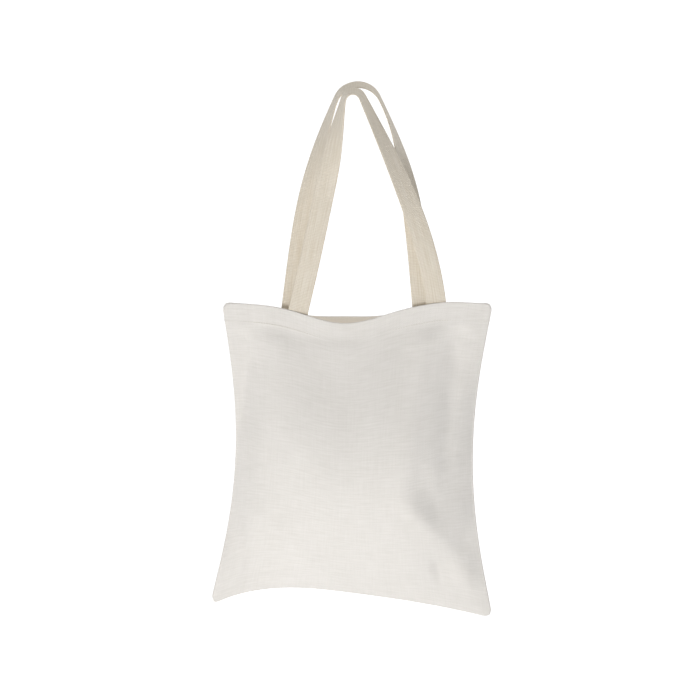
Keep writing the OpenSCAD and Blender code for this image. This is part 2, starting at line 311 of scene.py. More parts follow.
def blunt(x, z, edgeX, edgeZ, radius):
    # Rounds the outline's corner off: x and z within the radius of it move onto a circle
    a, b = np.abs(edgeX - x) / radius, np.abs(edgeZ - z) / radius
    px, pz = np.clip(1 - a, 0, 1), np.clip(1 - b, 0, 1)
    near = (a < 1) & (b < 1)
    newX = edgeX + np.sign(x - edgeX) * radius * (1 - px * np.sqrt(1 - pz * pz / 2))
    newZ = edgeZ + np.sign(z - edgeZ) * radius * (1 - pz * np.sqrt(1 - px * px / 2))
    return np.where(near, newX, x), np.where(near, newZ, z)


def place(s, t, depth, side, around=0.0, under=0.0, tuck=0.0, tuckUp=0.0, folds=None):
    # A point of a panel. around and under turn it round the side edge and the foot, in radians,
    # and tuck draws it into the seam
    s, t, depth, around, under = np.broadcast_arrays(s, t, depth, around, under)
    half, edge = halfWidth(t), bag["foldHalf"]
    out = standOut(s, t)
    if folds is not None:
        # No fold reaches the middle plane
        swelling = out - bag["foldHalf"]
        out = bag["foldHalf"] + np.maximum(swelling + folds(s, t), bag["leastSwell"] * swelling)
    reach = edge - depth
    sign = np.where(s < 0, -1, 1)
    middle = middleX(t)
    x = middle + s * (half - edge) + sign * (reach * np.sin(around) - tuck)
    z = footZ(s) + edge + t * (rimZ(s, side) - footZ(s) - edge) - reach * np.sin(under) + tuckUp
    y = side * (out - edge + reach * np.cos(around) * np.cos(under))
    edgeX = middle + sign * half
    x, z = blunt(x, z, edgeX, footZ(s), bag["cornerRadius"])
    x, z = blunt(x, z, edgeX, rimZ(s, side), bag["rimRadius"])
    return np.stack([x, y, z], -1)


def levelAt(s, below, side=-1):
    # t of the point this far below the rim
    return 1 - below / (rimZ(s, side) - footZ(s) - bag["foldHalf"])


def sAt(x, t):
    return (x - middleX(t)) / (halfWidth(t) - bag["foldHalf"])


# ---- Panels: each is one cut piece of cloth, which turns in along the seams and twice at the hem

frontPanelShape = {
    "columns": 150, "rows": 170,
    # Soft folds: from and to as (s, t), half width as a share of the panel, and lift
    "folds": [
        {"from": (0.60, 0.97), "to": (0.42, 0.42), "wide": 0.12, "lift": 4.0 * mm},
        {"from": (0.80, 0.93), "to": (0.78, 0.55), "wide": 0.09, "lift": -5.0 * mm},
        {"from": (0.95, 0.46), "to": (0.70, 0.36), "wide": 0.08, "lift": -3.5 * mm},
        {"from": (0.52, 0.36), "to": (0.88, 0.15), "wide": 0.07, "lift": 4.0 * mm},
        {"from": (0.97, 0.27), "to": (0.66, 0.15), "wide": 0.055, "lift": -4.5 * mm},
        {"from": (-0.93, 0.82), "to": (-0.98, 0.66), "wide": 0.08, "lift": -9.0 * mm},
        {"from": (-0.97, 0.30), "to": (-0.84, 0.13), "wide": 0.05, "lift": -3.5 * mm},
        {"from": (-0.62, 0.97), "to": (-0.80, 0.55), "wide": 0.10, "lift": 3.0 * mm},
    ],
    "unevenness": 1.2 * mm,
    "seed": 3,
}
backPanelShape = {
    "columns": 150, "rows": 170,
    "folds": [
        {"from": (-0.55, 1.0), "to": (-0.38, 0.5), "wide": 0.12, "lift": 3.0 * mm},
        {"from": (0.6, 0.95), "to": (0.75, 0.5), "wide": 0.10, "lift": 2.5 * mm},
        {"from": (-0.85, 0.10), "to": (-0.5, 0.38), "wide": 0.09, "lift": 4.0 * mm},
        {"from": (0.9, 0.1), "to": (0.62, 0.34), "wide": 0.08, "lift": 3.5 * mm},
    ],
    "unevenness": 1.4 * mm,
    "seed": 8,
}


foldFade = {"power": 12, "foot": 0.06, "top": 0.945, "over": 0.07}   # where the folds die out, as s and t


def foldField(shape):
    # The lift of every soft fold, and a gentle unevenness, fading out at the edges of the panel
    rng = np.random.default_rng(shape["seed"])
    waves = [(rng.uniform(1.0, 4.5), rng.uniform(1.0, 4.5), rng.uniform(0, 6.28), rng.uniform(0, 6.28))
             for _ in range(9)]

    def lift(s, t):
        total = np.zeros_like(s, dtype=float)
        for fold in shape["folds"]:
            a, b = np.array(fold["from"]), np.array(fold["to"])
            way = b - a
            k = np.clip(((s - a[0]) * way[0] + (t - a[1]) * way[1]) / (way @ way), 0, 1)
            gap = np.hypot(s - a[0] - k * way[0], t - a[1] - k * way[1]) / fold["wide"]
            total = total + fold["lift"] * np.exp(-gap * gap)
        for across, up, ahead, above in waves:
            wave = np.sin(across * s * 2 + ahead)
            total = total + shape["unevenness"] / 3 * wave * np.sin(up * t * 3 + above)
        # The hem is stiff, so every fold fades out below it
        fade = (1 - np.abs(np.clip(s, -1, 1)) ** foldFade["power"]) * ease(t / foldFade["foot"])
        fade = fade * ease((foldFade["top"] - t) / foldFade["over"])
        return total * fade
    return lift


def panelRows(shape):
    # How a panel's rows run: tucked into the foot seam, round the foot, up the face, over the rim,
    # down the inside and back up under the hem. Each row is (t or None, below the rim, depth, under, tuckUp)
    t0 = bag["clothThick"] / 2
    hemFace = 2.65 * bag["clothThick"]
    turn = (hemFace - t0) / 2
    rows = [(0.0, None, t0, math.radians(a), tuck) for a, tuck in seamTurn]
    top = 1 - turn / bag["height"]
    rows += [(t, None, t0, 0.0, 0.0) for t in np.linspace(0, top, shape["rows"])]
    for a in np.linspace(0, math.pi, rimTurn + 1)[1:]:
        rows.append((None, turn * (1 - math.sin(a)), t0 + turn - turn * math.cos(a), 0.0, 0.0))
    rows += [(None, h, hemFace, 0.0, 0.0) for h in np.linspace(turn, bag["hemHeight"], 12)[1:]]
    small = 0.5 * bag["clothThick"]
    for a in np.linspace(0, math.pi, 5)[1:]:
        depth = hemFace - small + small * math.cos(a)
        rows.append((None, bag["hemHeight"] + small * math.sin(a), depth, 0.0, 0.0))
    up = np.linspace(bag["hemHeight"], bag["hemHeight"] * 0.5, 4)[1:]
    rows += [(None, h, hemFace - 2 * small, 0.0, 0.0) for h in up]
    return rows


def panelColumns(shape):
    # (s, around, tuck) of each column: drawn into the side seam, round the edge, across the face
    inner = np.linspace(-1, 1, shape["columns"])
    inner = np.sign(inner) * (1 - (1 - np.abs(inner)) ** 1.15)
    left = [(-1.0, math.radians(a), tuck) for a, tuck in seamTurn]
    right = [(1.0, math.radians(a), tuck) for a, tuck in reversed(seamTurn)]
    return left + [(s, 0.0, 0.0) for s in inner] + right


def flatMap(rows, columns, points):
    # How far each point lies along the cloth, in metres: the cloth's own flat pattern
    middle = len(columns) // 2
    along = np.concatenate([[0], np.cumsum(np.linalg.norm(np.diff(points[:, middle], axis=0), axis=1))])
    across = np.concatenate([[0], np.cumsum(np.linalg.norm(np.diff(points[len(rows) // 2], axis=0), axis=1))])
    across = across - across[-1] / 2
    return np.stack(np.broadcast_arrays(across[None, :], along[:, None]), -1)


def gridFaces(rows, columns, flip=False):
    r, c = np.meshgrid(np.arange(rows - 1), np.arange(columns - 1), indexing="ij")
    a = (r * columns + c).ravel()
    quads = np.stack([a, a + 1, a + columns + 1, a + columns], -1)
    return quads[:, ::-1] if flip else quads


def addFlat(piece, flat):
    # The cloth's own pattern, in metres, as the piece's UV map
    layer = piece.data.uv_layers.new(name="flat")
    corner = np.zeros(len(piece.data.loops), np.int32)
    piece.data.loops.foreach_get("vertex_index", corner)
    layer.data.foreach_set("uv", np.asarray(flat, np.float32).reshape(-1, 2)[corner].ravel())


def thicken(piece, thickness):
    solid = piece.modifiers.new("thickness", "SOLIDIFY")
    solid.thickness = thickness
    solid.offset = 0


# A cloth simulation settles each face between its seams and hem, with a little more cloth than the
# smooth shape needs, and leaves the small creases that a sewn bag has
settling = {
    "columns": 60, "rows": 70, "frames": 40,
    "slack": 0.012,
    "stiffness": 12.0, "bending": 0.6, "weight": 0.30,  # kg of cloth on a square metre
    "outward": 0.6,             # the air and the fold lines that keep the belly full
    "most": 4 * mm,             # the settling is squeezed to stay under this
    "share": 0.7,               # and this much of it is kept, so a crease is at most 2.8 mm
    "faceArea": 0.13,           # square metres in one face
}


def settledFace(name, shape, side):
    # The lift of each face after the simulation, as a grid over t and s
    rows, columns = settling["rows"], settling["columns"]
    s, t = np.linspace(-1, 1, columns)[None, :], np.linspace(0, 1, rows)[:, None]
    start = place(s, t, bag["clothThick"] / 2, side, folds=foldField(shape))
    cloth = meshObject(name, start.reshape(-1, 3), gridFaces(rows, columns, side > 0), canvas)
    held = np.zeros((rows, columns))
    held[:, [0, 1, -2, -1]] = held[[0, 1], :] = 1
    held[t[:, 0] > 1 - 1.15 * bag["hemHeight"] / bag["height"]] = 1
    group = cloth.vertex_groups.new(name="held")
    group.add([int(i) for i in np.nonzero(held.ravel())[0]], 1.0, "REPLACE")
    drape = cloth.modifiers.new("drape", "CLOTH")
    drape.point_cache.frame_start, drape.point_cache.frame_end = 1, settling["frames"]
    given = drape.settings
    given.quality = 5
    given.mass = settling["weight"] / (rows * columns) * settling["faceArea"]
    given.tension_stiffness = given.compression_stiffness = given.shear_stiffness = settling["stiffness"]
    given.bending_stiffness = settling["bending"]
    given.shrink_min = -settling["slack"]
    given.use_pressure, given.uniform_pressure_force = True, settling["outward"]
    given.vertex_group_mass = "held"
    drape.collision_settings.use_collision = False
    for frameNumber in range(1, settling["frames"] + 1):
        scene.frame_set(frameNumber)
    hung = cloth.evaluated_get(bpy.context.evaluated_depsgraph_get()).to_mesh()
    moved = np.zeros(rows * columns * 3, np.float32)
    hung.vertices.foreach_get("co", moved)
    out = side * (moved.reshape(rows, columns, 3)[..., 1] - start[..., 1])
    scene.frame_set(1)
    bpy.data.objects.remove(cloth)
    print(name, "settled by at most", round(float(np.abs(out).max()) * 1000, 1), "mm")
    for _ in range(3):
        out[1:-1, 1:-1] = (out[1:-1, 1:-1] * 4 + out[:-2, 1:-1] + out[2:, 1:-1]
                           + out[1:-1, :-2] + out[1:-1, 2:]) / 8
    return settling["share"] * settling["most"] * np.tanh(out / settling["most"])


def fullField(shape, settled):
    # The soft folds, with the settled creases added
    folds = foldField(shape)
    if settled is None:
        return folds

    def lift(s, t):
        rows, columns = settled.shape
        u = np.clip((s + 1) / 2, 0, 1) * (columns - 1)
        v = np.clip(t, 0, 1) * (rows - 1)
        i, j = np.minimum(u.astype(int), columns - 2), np.minimum(v.astype(int), rows - 2)
        a, b = u - i, v - j
        low = mix(settled[j, i], settled[j, i + 1], a)
        high = mix(settled[j + 1, i], settled[j + 1, i + 1], a)
        return folds(s, t) + mix(low, high, b)
    return lift


def makePanel(name, shape, side, settled, material, inside):
    rows, columns = panelRows(shape), panelColumns(shape)
    s = np.array([c[0] for c in columns])[None, :]
    around = np.array([c[1] for c in columns])[None, :]
    tuck = np.array([c[2] for c in columns])[None, :]
    lift = fullField(shape, settled)
    points = np.concatenate([
        place(s, t if t is not None else levelAt(s, below, side), depth, side,
              around, under, tuck, tuckUp, lift)
        for t, below, depth, under, tuckUp in rows])
    seamGap = bag["clothThick"] / 2 + 0.05 * mm
    points[..., 1] = side * np.maximum(side * points[..., 1], seamGap)
    piece = meshObject(name, points.reshape(-1, 3), gridFaces(len(rows), len(columns), side > 0), material)
    # The cloth's inner face, which the hem turns outwards, takes the second material, whose painted glow
    # stands in for daylight coming through the cloth
    piece.data.materials.append(inside)
    overRim = (len(seamTurn) + shape["rows"] + rimTurn // 2) * (len(columns) - 1)
    slots = (np.arange(len(piece.data.polygons)) >= overRim).astype(np.int32)
    piece.data.polygons.foreach_set("material_index", slots)
    addFlat(piece, flatMap(rows, columns, points))
    thicken(piece, bag["clothThick"])
    piece.modifiers["thickness"].material_offset = 1
    return piece


# ---- Handles: flat webbing, hung on edge over the crown and turned flat to the rim

frontHandleShape = {
    "side": -1, "crownX": 0.0, "crownRadius": 11 * mm,
    "leave": (80, 64),              # degrees round the crown where the left and right legs leave it
    "feet": (-60.5 * mm, 108.5 * mm),
    "splay": (11.5, 8.5),           # degrees that each leg leans where it meets the rim
    "twist": ((-0.12, 0.48), (-0.30, 1.00)),  # where along each leg the turn starts and ends
}
backHandleShape = {
    "side": 1, "crownX": 6 * mm, "crownRadius": 28 * mm,
    "leave": (71, 63),
    "feet": (-69.5 * mm, 92 * mm),
    "splay": (5.5, 6.5),
    "twist": ((-0.16, 0.78), (0.02, 0.80)),
}
webbing = {
    "width": 25 * mm, "thick": 1.6 * mm, "sewnLength": 30 * mm,
    "crownGap": 2 * mm,     # between the two handles, side by side on the hook
    "legReach": 0.34,       # how stiffly each leg starts and ends, as a share of its span
    "step": 1.5 * mm,
    "legPoints": 90, "endPoints": 22, "crownPoints": 60,
    "footGap": 1.2 * mm,    # from the rim up to where a leg starts
    "driftOver": 9 * mm,    # the length over which a sewn end turns upright
    "lineSmooth": 6, "faceSmooth": 14,
    "cupping": 0.25 * mm,   # how hollow the strip lies across its width
}


def bezier(p, k):
    k = np.asarray(k)[:, None]
    m = 1 - k
    return m ** 3 * p[0] + 3 * m * m * k * p[1] + 3 * m * k * k * p[2] + k ** 3 * p[3]


def handleLine(shape):
    # The handle's centreline from its left sewn end over the crown to the right one, with the
    # direction that the webbing's outer face looks in at each point
    mid = shape["crownRadius"] + webbing["thick"] / 2
    crownY = shape["side"] * (webbing["width"] + webbing["crownGap"]) / 2
    centre = np.array([shape["crownX"], crownY, -shape["crownRadius"]])
    line, faces, sewn = [], [], []
    for i, turn in enumerate((-1, 1)):
        a, lean = math.radians(shape["leave"][i]), math.radians(shape["splay"][i])
        footX = shape["feet"][i]
        s = sAt(footX, 1.0)
        top = centre + mid * np.array([turn * math.sin(a), 0, math.cos(a)])
        rimY = shape["side"] * (standOut(s, 1.0) - bag["webbingDepth"])
        foot = np.array([footX, rimY, rimZ(s, shape["side"]) + webbing["footGap"]])
        span = math.hypot(foot[0] - top[0], foot[2] - top[2])
        reach = webbing["legReach"] * span
        k = np.linspace(1, 0, webbing["legPoints"])
        points = bezier([
            top,
            top + reach * np.array([turn * math.cos(a), 0, -math.sin(a)]),
            foot + reach * np.array([-turn * math.sin(lean), 0, math.cos(lean)]),
            foot], k)
        points[:, 1] = mix(crownY, rimY, k * k)
        start, end = shape["twist"][i]
        twist = np.pi / 2 * ease((k - start) / (end - start))
        way = np.gradient(points, axis=0)
        way /= np.linalg.norm(way, axis=1)[:, None]
        outward = np.stack([-turn * way[:, 2], 0 * way[:, 0], turn * way[:, 0]], -1) * -1
        outward /= np.linalg.norm(outward, axis=1)[:, None]
        face = outward * np.cos(twist)[:, None] + np.array([0, -1, 0]) * np.sin(twist)[:, None]
        # The sewn end goes on down inside the hem
        below = np.linspace(webbing["sewnLength"], webbing["step"], webbing["endPoints"])
        over = webbing["driftOver"]
        drift = turn * math.tan(lean) * over * (1 - np.exp(-below / over))
        sEnd = sAt(footX + drift, 1.0)
        end = place(sEnd, levelAt(sEnd, below, shape["side"]), bag["webbingDepth"], shape["side"])
        endFace = np.tile([0.0, -1.0, 0.0], (len(below), 1))
        line.append(np.concatenate([end, points]))
        faces.append(np.concatenate([endFace, face]))
    arc = np.radians(np.linspace(-shape["leave"][0], shape["leave"][1], webbing["crownPoints"])[1:-1])
    crown = centre + mid * np.stack([np.sin(arc), 0 * arc, np.cos(arc)], -1)
    crownFace = np.stack([np.sin(arc), 0 * arc, np.cos(arc)], -1)
    # Where a leg has begun to turn at the crown already, the turn fades out towards its top
    early = [np.pi / 2 * float(ease(-t[0] / (t[1] - t[0]))) for t in shape["twist"]]
    share = arc / np.radians(np.where(arc < 0, shape["leave"][0], shape["leave"][1]))
    bend = np.where(arc < 0, early[0], early[1]) * ease(np.abs(share)) ** 1.5
    crownFace = (crownFace * np.cos(bend)[:, None]
                 + np.array([0, -1, 0]) * np.sin(bend)[:, None])
    return (np.concatenate([line[0], crown, line[1][::-1]]),
            np.concatenate([faces[0], crownFace, faces[1][::-1]]))


def evenly(line, faces, step):
    # The same line with points a step apart
    run = np.concatenate([[0], np.cumsum(np.linalg.norm(np.diff(line, axis=0), axis=1))])
    at = np.linspace(0, run[-1], int(run[-1] / step) + 1)
    pick = lambda values: np.stack([np.interp(at, run, values[:, i]) for i in range(3)], -1)
    return pick(line), pick(faces), at


def smooth(values, times):
    for _ in range(times):
        values = np.concatenate([values[:1], (values[:-2] + 2 * values[1:-1] + values[2:]) / 4, values[-1:]])
    return values


def webbingSection():
    # Half of the strip's outline: a flat face with rounded selvedges, as (across, out) pairs
    a, b = webbing["width"] / 2, webbing["thick"] / 2
    across = np.linspace(-1, 1, 9) * (a - b)
    face = [(x, b) for x in across]
    edge = [(a - b + b * math.cos(q), b * math.sin(q)) for q in np.radians([60, 25, -25, -60])]
    back = [(-x, -b) for x in across]
    other = [(-p[0], -p[1]) for p in edge]
    return np.array(face + edge + back + other)


def makeHandle(name, shape, material):
    line, faces = handleLine(shape)
    line, faces, run = evenly(line, faces, webbing["step"])
    line, faces = smooth(line, webbing["lineSmooth"]), smooth(faces, webbing["faceSmooth"])
    way = np.gradient(line, axis=0)
    way /= np.linalg.norm(way, axis=1)[:, None]
    faces -= (faces * way).sum(1)[:, None] * way
    faces /= np.linalg.norm(faces, axis=1)[:, None]
    wide = np.cross(way, faces)
    section = webbingSection()
    hollow = webbing["cupping"] * (section[:, 0] / (webbing["width"] / 2)) ** 2
    rings = (line[:, None] + section[None, :, 0, None] * wide[:, None]
             + (section[:, 1] - hollow)[None, :, None] * faces[:, None])
    n, k = rings.shape[:2]
    quads = [(r * k + p, r * k + (p + 1) % k, (r + 1) * k + (p + 1) % k, (r + 1) * k + p)
             for r in range(n - 1) for p in range(k)]
    # Strips of quads close each cut end
    half = k // 2
    for start, flip in ((0, True), ((n - 1) * k, False)):
        for p in range(half - 1):
            cap = (start + p, start + p + 1, start + k - 2 - p, start + k - 1 - p)
            quads.append(cap[::-1] if flip else cap)
    piece = meshObject(name, rings.reshape(-1, 3), quads, material)
    around = np.concatenate([[0], np.cumsum(np.linalg.norm(np.diff(section, axis=0), axis=1))])
    addFlat(piece, np.stack(np.broadcast_arrays(around[None, :], run[:, None]), -1))
    print(name, "webbing is", round(float(run[-1]) * 1000), "mm long")
    return piece


# ---- Materials. Cloth patterns follow the flat map, in metres, so their scales are real lengths

canvasLook = {
    # Off-white linen-look cotton canvas, plain woven from slubby yarn and calendered: matt, with
    # uneven threads that run mostly across, and hardly any gloss
    "light": "#f1eeeb", "dark": "#dfdcd7",
    "weftPitch": 2.0 * mm,      # the real threads lie 0.8 mm apart, too fine to show, so drawn coarser
    "warpPitch": 1.9 * mm,
    "slubLength": 26 * mm,
    "slubDepth": 0.16 * mm,
    "weaveDepth": 0.05 * mm,
    "broad": (14, 11),          # soft patches to a metre, across and along
    "weftShare": 0.68, "weftMiddle": -0.34, "warpShare": 0.30, "broadShare": 0.35,
    "shadeFrom": 0.02, "shadeTo": 0.62,
    "roughness": 0.88,
    "through": "#fff5e4", "throughStrength": 0.17,  # painted glow on the inner face: an emission that stands in for the daylight that comes through the cloth
}
webbingLook = {
    # Cream cotton webbing, woven on a narrow loom: ribs across it, fine yarns along it, dry matt
    "light": "#ece5d9", "dark": "#d7ccb9",
    "ribPitch": 2.0 * mm,       # real ribs are 1.2 mm apart, drawn coarser so that they show
    "yarnPitch": 1.1 * mm,
    "ribDepth": 0.10 * mm,
    "yarnDepth": 0.05 * mm,
    "wander": (60, 220), "wanderTurn": 2.4,     # how unevenly the ribs run
    # the rib and yarn height also sets the colour: painted shade in the grooves, lighter on the raised ribs
    "grooveShadeShare": 0.11, "shadeFrom": 0.2, "shadeTo": 0.75,
    "roughness": 0.85,
}
threadLook = {
    # Spun polyester sewing thread, undyed: a soft satin with a fine twist
    "light": "#f4f1ea", "dark": "#dcd8cf",
    "twistPitch": 0.6 * mm,
}


def clothSurface(tree, colour, height, roughness, depth, **more):
    bump = addNode(tree, "ShaderNodeBump", {"Height": height, "Strength": 1.0, "Distance": depth})
    surface = addNode(tree, "ShaderNodeBsdfPrincipled", {
        "Base Color": colour, "Roughness": roughness, "IOR": 1.5, "Specular IOR Level": 0.25,
        "Sheen Weight": 0.25, "Sheen Roughness": 0.5, "Normal": bump.outputs[0], **more})
    addNode(tree, "ShaderNodeOutputMaterial", {"Surface": surface.outputs[0]})


def stretched(tree, source, scale, detail, roughness):
    # A noise drawn out along one direction of the cloth: scale holds features per metre
    drawn = addNode(tree, "ShaderNodeMapping", {"Vector": source, "Scale": (scale[0], scale[1], 1.0)})
    return addNode(tree, "ShaderNodeTexNoise", {
        "Vector": drawn.outputs[0], "Scale": 1.0, "Detail": detail, "Roughness": roughness}).outputs[0]


def canvasMaterial(name, look, **more):
    material, tree = newMaterial(name)
    flat = addNode(tree, "ShaderNodeUVMap", uv_map="flat").outputs[0]
    weft = stretched(tree, flat, (1 / look["slubLength"], 1 / look["weftPitch"]), 3.0, 0.6)
    warp = stretched(tree, flat, (1 / look["warpPitch"], 0.8 / look["slubLength"]), 2.0, 0.5)
    broad = stretched(tree, flat, look["broad"], 3.0, 0.5)
    # The regular plain weave, over one and under one
    turns = addNode(tree, "ShaderNodeMapping", {"Vector": flat, "Scale": (
        math.tau / look["warpPitch"], math.tau / look["weftPitch"], 1.0)})
    split = addNode(tree, "ShaderNodeSeparateXYZ", {"Vector": turns.outputs[0]})
    overWarp = addNode(tree, "ShaderNodeMath", {0: split.outputs[0]}, operation="SINE")
    overWeft = addNode(tree, "ShaderNodeMath", {0: split.outputs[1]}, operation="SINE")
    weave = addNode(tree, "ShaderNodeMath", {
        0: overWarp.outputs[0], 1: overWeft.outputs[0]}, operation="MULTIPLY")
    threads = addNode(tree, "ShaderNodeMath", {
        0: weft, 1: look["weftShare"], 2: look["weftMiddle"]}, operation="MULTIPLY_ADD")
    threads = addNode(tree, "ShaderNodeMath", {
        0: warp, 1: look["warpShare"], 2: threads.outputs[0]}, operation="MULTIPLY_ADD")
    height = addNode(tree, "ShaderNodeMath", {
        0: weave.outputs[0], 1: look["weaveDepth"] / look["slubDepth"],
        2: threads.outputs[0]}, operation="MULTIPLY_ADD")
    shade = addNode(tree, "ShaderNodeMath", {
        0: broad, 1: look["broadShare"], 2: threads.outputs[0]}, operation="MULTIPLY_ADD")
    shade = addNode(tree, "ShaderNodeMapRange", {
        "Value": shade.outputs[0], "From Min": look["shadeFrom"], "From Max": look["shadeTo"]})
    colour = addNode(tree, "ShaderNodeMix", {
        "Factor": shade.outputs[0], 6: linear(look["dark"]), 7: linear(look["light"])}, data_type="RGBA")
    clothSurface(tree, colour.outputs[2], height.outputs[0], look["roughness"], look["slubDepth"], **more)
    return material


def webbingMaterial(look):
    material, tree = newMaterial("creamCottonWebbing")
    flat = addNode(tree, "ShaderNodeUVMap", uv_map="flat").outputs[0]
    wander = stretched(tree, flat, look["wander"], 2.0, 0.5)
    split = addNode(tree, "ShaderNodeSeparateXYZ", {"Vector": flat})
    ribs = addNode(tree, "ShaderNodeMath", {
        0: split.outputs[1], 1: math.tau / look["ribPitch"]}, operation="MULTIPLY")
    ribs = addNode(tree, "ShaderNodeMath", {
        0: wander, 1: look["wanderTurn"], 2: ribs.outputs[0]}, operation="MULTIPLY_ADD")
    ribs = addNode(tree, "ShaderNodeMath", {0: ribs.outputs[0]}, operation="SINE")
    yarns = addNode(tree, "ShaderNodeMath", {
        0: split.outputs[0], 1: math.tau / look["yarnPitch"]}, operation="MULTIPLY")
    yarns = addNode(tree, "ShaderNodeMath", {0: yarns.outputs[0]}, operation="SINE")
    along = stretched(tree, flat, (1 / look["yarnPitch"], 22), 2.0, 0.6)
    height = addNode(tree, "ShaderNodeMath", {
        0: yarns.outputs[0], 1: look["yarnDepth"] / look["ribDepth"],
        2: ribs.outputs[0]}, operation="MULTIPLY_ADD")
    # Painted shade: the colour darkens with the rib and yarn height into the grooves, plus a random tone
    # along the yarns
    shade = addNode(tree, "ShaderNodeMath", {
        0: height.outputs[0], 1: look["grooveShadeShare"], 2: along}, operation="MULTIPLY_ADD")
    shade = addNode(tree, "ShaderNodeMapRange", {
        "Value": shade.outputs[0], "From Min": look["shadeFrom"], "From Max": look["shadeTo"]})
    colour = addNode(tree, "ShaderNodeMix", {
        "Factor": shade.outputs[0], 6: linear(look["dark"]), 7: linear(look["light"])}, data_type="RGBA")
    clothSurface(tree, colour.outputs[2], height.outputs[0], look["roughness"], look["ribDepth"])
    return material


def threadMaterial(look):
    material, tree = newMaterial("spunPolyesterThread")
    where = addNode(tree, "ShaderNodeTexCoord").outputs["Object"]
    fuzz = addNode(tree, "ShaderNodeTexNoise", {
        "Vector": where, "Scale": 1 / look["twistPitch"], "Detail": 2.0})
    colour = addNode(tree, "ShaderNodeMix", {
        "Factor": fuzz.outputs[0], 6: linear(look["dark"]), 7: linear(look["light"])}, data_type="RGBA")
    bump = addNode(tree, "ShaderNodeBump", {"Height": fuzz.outputs[0], "Distance": 0.05 * mm})
    surface = addNode(tree, "ShaderNodeBsdfPrincipled", {
        "Base Color": colour.outputs[2], "Roughness": 0.6, "IOR": 1.5, "Sheen Weight": 0.15,
        "Normal": bump.outputs[0]})
    addNode(tree, "ShaderNodeOutputMaterial", {"Surface": surface.outputs[0]})
    return material


canvas = canvasMaterial("linenLookCanvas", canvasLook)
# The inner face's copy of the canvas carries a painted glow, an emission that stands in for daylight coming
# through the cloth
glowingCanvasInside = canvasMaterial("linenLookCanvasInsidePaintedGlow", canvasLook, **{
    "Emission Color": linear(canvasLook["through"]), "Emission Strength": canvasLook["throughStrength"]})
cottonWebbing = webbingMaterial(webbingLook)
thread = threadMaterial(threadLook)
print("materials are made")


# ---- Seam allowances: both panels' raw edges, lying together inside the bag

sewing = {
    "grooveInset": 1.9 * mm,    # where the panels turn in, measured from the fold
    "layerGap": 0.1 * mm,
    "seamInset": 4 * mm,        # from the fold to the seam's stitches
    "hemInset": 23 * mm,        # from the rim to the hem's stitches
    "stitch": 3.2 * mm, "thread": 0.22 * mm,
    "overlockWidth": 4.2 * mm, "overlockPitch": 2.4 * mm, "overlockThread": 0.26 * mm,
    "overlockThick": 2.0 * mm, "overlockSlant": 16,     # through the layers, and degrees
    "boxStitch": 2.6 * mm, "boxLength": 2.1 * mm,
    "boxMargin": 4 * mm,        # from the webbing's edges to the box of stitches
}


def sidePath(side, inset, node):
    # Down a side seam, inset from the fold, over the height of the CAD's seam
    low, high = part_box(node)
    z = np.linspace(high[2], low[2], 150)
    t = (z - footZ(side) - bag["foldHalf"]) / (rimZ(side) - footZ(side) - bag["foldHalf"])
    return np.stack([middleX(t) + side * (halfWidth(t) - inset), 0 * z, z], -1)


def footPath(inset, node):
    low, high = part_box(node)
    x = np.linspace(low[0], high[0], 120)
    s = np.clip((x - middleX(0.0)) / halfWidth(0.0), -1, 1)
    return np.stack([x, 0 * x, footZ(s) + inset], -1)


def makeAllowance(name, path, material):
    # path gives the line at an inset; both layers fan out from the groove to the raw edge
    insets = np.linspace(sewing["grooveInset"], bag["seamWidth"], 9)
    points, faces = [], []
    gap = bag["clothThick"] / 2 + sewing["layerGap"] / 2
    for layer in (-1, 1):
        rows = np.stack([path(inset) for inset in insets])
        # The raw edges wander and part a little
        share = ((insets - insets[0]) / (insets[-1] - insets[0]))[:, None]
        run = np.linspace(0, 1, rows.shape[1])[None, :]
        rows[..., 1] = layer * (gap + 0.12 * mm * share * (1 + np.sin(61 * run + layer) * np.sin(23 * run)))
        faces.append(gridFaces(*rows.shape[:2], layer > 0) + sum(len(p) for p in points))
        points.append(rows.reshape(-1, 3))
    points = np.concatenate(points)
    piece = meshObject(name, points, np.concatenate(faces), material)
    addFlat(piece, np.stack([points[:, 0], points[:, 2]], -1))
    thicken(piece, bag["clothThick"])
    return piece


# ---- Threads: each row is a path with its outward direction, and a node tree repeats the stitch

def newTree(name, numbers):
    tree = bpy.data.node_groups.new(name, "GeometryNodeTree")
    tree.is_modifier = True
    face = tree.interface
    face.new_socket("Geometry", in_out="INPUT", socket_type="NodeSocketGeometry")
    for label, value in numbers.items():
        socket = face.new_socket(label, in_out="INPUT", socket_type="NodeSocketFloat")
        socket.default_value = value
    face.new_socket("Material", in_out="INPUT", socket_type="NodeSocketMaterial")
    face.new_socket("Geometry", in_out="OUTPUT", socket_type="NodeSocketGeometry")
    return tree, tree.nodes.new("NodeGroupInput")


